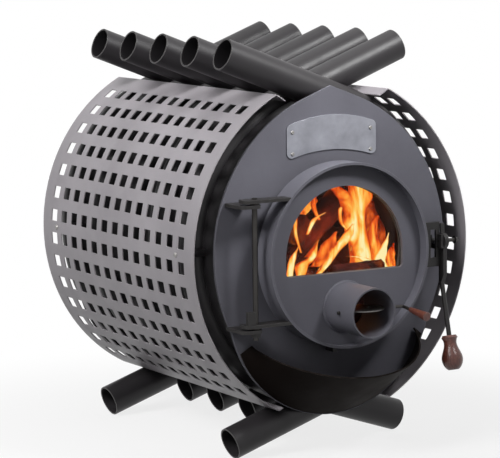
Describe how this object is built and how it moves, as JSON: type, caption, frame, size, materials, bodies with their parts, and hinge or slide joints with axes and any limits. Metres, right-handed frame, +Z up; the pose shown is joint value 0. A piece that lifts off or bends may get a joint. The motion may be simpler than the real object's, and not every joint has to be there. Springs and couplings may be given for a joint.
{
  "type": "wood stove",
  "caption": "Free-standing wood stove with a drum of bent air tubes, slotted side shields, a round glazed door, an air spout with a throttle and a rear flue outlet",
  "frame": {"origin": "On the floor under the middle of the stove's bounding box. X = 0 is the plane between its left and right halves.", "axes": "+Z is up, -Y is where the door looks, +X is the viewer's right when looking at the door."},
  "size_m": [0.6014, 0.8873, 0.7734],
  "materials": {
    "stove_paint": "matt heat-proof paint, soft sheen, slight wear at edges",
    "front_paint": "satin blue-grey heat-proof paint",
    "panel_paint": "satin silver-grey powder coat",
    "bare_steel": "plain steel, lightly darkened",
    "sign_metal": "satin, left bare",
    "seal_rope": "woven heat-proof rope",
    "window_glass": "clear heat-proof glass",
    "grip_wood": "stained reddish-brown, satin varnish"
  },
  "bodies": {
    "drum": {"air_tube_right_1": "stove_paint", "air_tube_right_2": "stove_paint", "air_tube_right_3": "stove_paint", "air_tube_right_4": "stove_paint", "air_tube_right_5": "stove_paint", "air_tube_left_1": "stove_paint", "air_tube_left_2": "stove_paint", "air_tube_left_3": "stove_paint", "air_tube_left_4": "stove_paint", "air_tube_left_5": "stove_paint", "wall_strips_right": "stove_paint", "wall_strips_left": "stove_paint", "front_plate": "front_paint", "rear_plate": "stove_paint", "door_collar": "stove_paint", "ash_lip": "stove_paint", "baffle_plate": "stove_paint", "baffle_rails": "stove_paint", "hinge_ear_upper": "stove_paint", "hinge_ear_lower": "stove_paint", "door_rest_lug": "stove_paint", "latch_keeper": "stove_paint", "flue_collar": "stove_paint", "left_side_panel": "panel_paint", "right_side_panel": "panel_paint", "panel_standoffs_left": "stove_paint", "panel_standoffs_right": "stove_paint", "panel_screws": "bare_steel", "name_plate": "sign_metal", "name_plate_rivets": "bare_steel", "hinge_rod": "bare_steel", "hinge_washers": "bare_steel", "hinge_nut": "bare_steel"},
    "door": {"door_disc": "front_paint", "door_rim": "stove_paint", "door_seal": "seal_rope", "window_glass": "window_glass", "glass_gasket": "seal_rope", "glass_frame": "stove_paint", "glass_screws": "bare_steel", "air_spout": "front_paint", "door_arm_upper": "stove_paint", "door_arm_lower": "stove_paint", "door_arm_block": "stove_paint", "latch_bracket": "stove_paint", "latch_pin": "bare_steel"},
    "throttle": {"throttle_axle": "bare_steel", "throttle_plate": "stove_paint", "throttle_screws": "bare_steel", "throttle_grip": "grip_wood"},
    "latch": {"latch_lever": "bare_steel", "latch_grip": "grip_wood"},
    "damper": {"damper_axle": "bare_steel", "damper_plate": "stove_paint", "damper_screws": "bare_steel", "damper_handle": "bare_steel"}
  },
  "joints": [
    {"name": "door_hinge", "type": "hinge", "parent": "drum", "child": "door", "pos_m": [-0.195, -0.31525, 0.37978], "axis": [0, 0, -1], "range_deg": [0, 115]},
    {"name": "throttle_turn", "type": "hinge", "parent": "door", "child": "throttle", "pos_m": [0, -0.36325, 0.27658], "axis": [1, 0, 0], "range_deg": [0, 86]},
    {"name": "latch_turn", "type": "hinge", "parent": "door", "child": "latch", "pos_m": [0.211, -0.31825, 0.38378], "axis": [-1, 0, 0], "range_deg": [0, 70]},
    {"name": "damper_turn", "type": "hinge", "parent": "drum", "child": "damper", "pos_m": [0, 0.39125, 0.52978], "axis": [1, 0, 0], "range_deg": [0, 90]}
  ]
}
